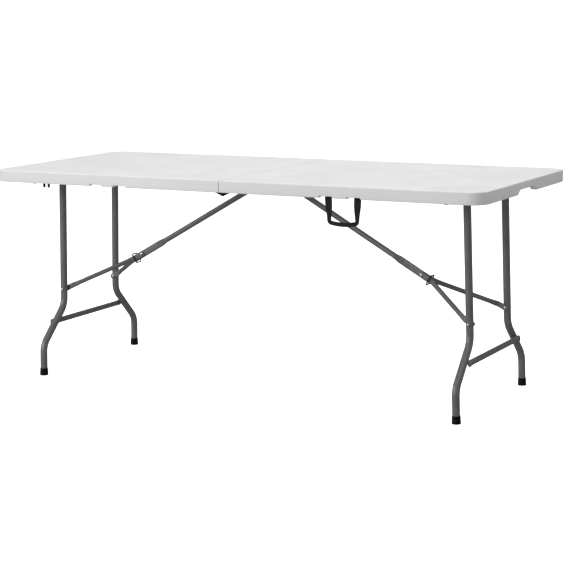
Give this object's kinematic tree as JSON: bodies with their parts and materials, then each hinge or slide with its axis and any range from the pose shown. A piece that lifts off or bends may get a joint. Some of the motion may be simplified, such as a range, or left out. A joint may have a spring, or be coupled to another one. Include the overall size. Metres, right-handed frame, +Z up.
{
  "type": "folding table",
  "caption": "Fold-in-half table with a moulded top, wishbone folding legs, locking Y braces and a webbing carry handle",
  "frame": {"origin": "on the floor, under the middle of the unfolded table", "axes": "+X along the table, from the left half to the right half; -Y is the long side with the carry handle; +Z up"},
  "size_m": [1.83, 0.76, 0.74],
  "materials": {
    "panel": "matte",
    "frame_paint": "satin",
    "black_fitting": "satin",
    "foot_cap": "matte",
    "zinc": "satin",
    "ring_steel": "satin",
    "webbing": "matte"
  },
  "bodies": {
    "left_half": {"left_top_panel": "panel", "left_front_rail": "frame_paint", "left_rear_rail": "frame_paint", "front_hinge_left_leaf": "black_fitting", "rear_hinge_left_leaf": "black_fitting", "front_hinge_pin": "black_fitting", "rear_hinge_pin": "black_fitting", "left_catch_fork": "black_fitting"},
    "right_half": {"right_top_panel": "panel", "right_front_rail": "frame_paint", "right_rear_rail": "frame_paint", "front_hinge_right_leaf": "black_fitting", "rear_hinge_right_leaf": "black_fitting", "handle_anchor_inner": "black_fitting", "handle_anchor_outer": "black_fitting", "right_catch_peg": "black_fitting"},
    "handle": {"handle_strap": "webbing"},
    "left_leg_set": {"left_leg_pivot_tube": "frame_paint", "left_spreader": "frame_paint", "left_front_leg": "frame_paint", "left_front_foot_cap": "foot_cap", "left_front_leg_rivet": "zinc", "left_rear_leg": "frame_paint", "left_rear_foot_cap": "foot_cap", "left_rear_leg_rivet": "zinc"},
    "left_upper_brace": {"left_cross_tube": "frame_paint", "left_brace": "frame_paint", "left_knee_rivet": "zinc"},
    "left_arms": {"left_front_arm": "frame_paint", "left_front_arm_pin": "zinc", "left_rear_arm": "frame_paint", "left_rear_arm_pin": "zinc"},
    "left_ring": {"left_lock_ring": "ring_steel"},
    "right_leg_set": {"right_leg_pivot_tube": "frame_paint", "right_spreader": "frame_paint", "right_front_leg": "frame_paint", "right_front_foot_cap": "foot_cap", "right_front_leg_rivet": "zinc", "right_rear_leg": "frame_paint", "right_rear_foot_cap": "foot_cap", "right_rear_leg_rivet": "zinc"},
    "right_upper_brace": {"right_cross_tube": "frame_paint", "right_brace": "frame_paint", "right_knee_rivet": "zinc"},
    "right_arms": {"right_front_arm": "frame_paint", "right_front_arm_pin": "zinc", "right_rear_arm": "frame_paint", "right_rear_arm_pin": "zinc"},
    "right_ring": {"right_lock_ring": "ring_steel"}
  },
  "joints": [
    {"name": "top_fold", "type": "hinge", "parent": "left_half", "child": "right_half", "pos_m": [0, 0, 0.693], "axis": [0, 1, 0], "range_deg": [0, 90]},
    {"name": "left_leg_fold", "type": "hinge", "parent": "left_half", "child": "left_leg_set", "pos_m": [-0.775, 0, 0.702], "axis": [0, -1, 0], "range_deg": [0, 91.68]},
    {"name": "left_brace_swing", "type": "hinge", "parent": "left_half", "child": "left_upper_brace", "pos_m": [-0.03, 0, 0.704], "axis": [0, -1, 0], "range_deg": [-29.96, 0]},
    {"name": "left_knee_fold", "type": "hinge", "parent": "left_upper_brace", "child": "left_arms", "pos_m": [-0.5517, 0, 0.411], "axis": [0, -1, 0], "range_deg": [0, 181.47]},
    {"name": "left_ring_slide", "type": "slide", "parent": "left_upper_brace", "child": "left_ring", "axis": [0.8793, 0, 0.4763], "range_m": [0, 0.276]},
    {"name": "right_leg_fold", "type": "hinge", "parent": "right_half", "child": "right_leg_set", "pos_m": [0.775, 0, 0.702], "axis": [0, 1, 0], "range_deg": [0, 91.68]},
    {"name": "right_brace_swing", "type": "hinge", "parent": "right_half", "child": "right_upper_brace", "pos_m": [0.03, 0, 0.704], "axis": [0, 1, 0], "range_deg": [-29.96, 0]},
    {"name": "right_knee_fold", "type": "hinge", "parent": "right_upper_brace", "child": "right_arms", "pos_m": [0.5517, 0, 0.411], "axis": [0, 1, 0], "range_deg": [0, 181.47]},
    {"name": "right_ring_slide", "type": "slide", "parent": "right_upper_brace", "child": "right_ring", "axis": [-0.8793, 0, 0.4763], "range_m": [0, 0.276]},
    {"name": "handle_swing", "type": "hinge", "parent": "right_half", "child": "handle", "pos_m": [0.437, -0.354, 0.7045], "axis": [-1, 0, 0], "range_deg": [-30, 90]}
  ],
  "couplings": [
    {"joint": "left_brace_swing", "follows": "left_leg_fold", "ratio": -0.32574},
    {"joint": "left_knee_fold", "follows": "left_leg_fold", "ratio": 1.9783},
    {"joint": "left_ring_slide", "follows": "left_leg_fold", "m_per_rad": 0.17186},
    {"joint": "right_brace_swing", "follows": "right_leg_fold", "ratio": -0.32574},
    {"joint": "right_knee_fold", "follows": "right_leg_fold", "ratio": 1.9783},
    {"joint": "right_ring_slide", "follows": "right_leg_fold", "m_per_rad": 0.17186}
  ]
}
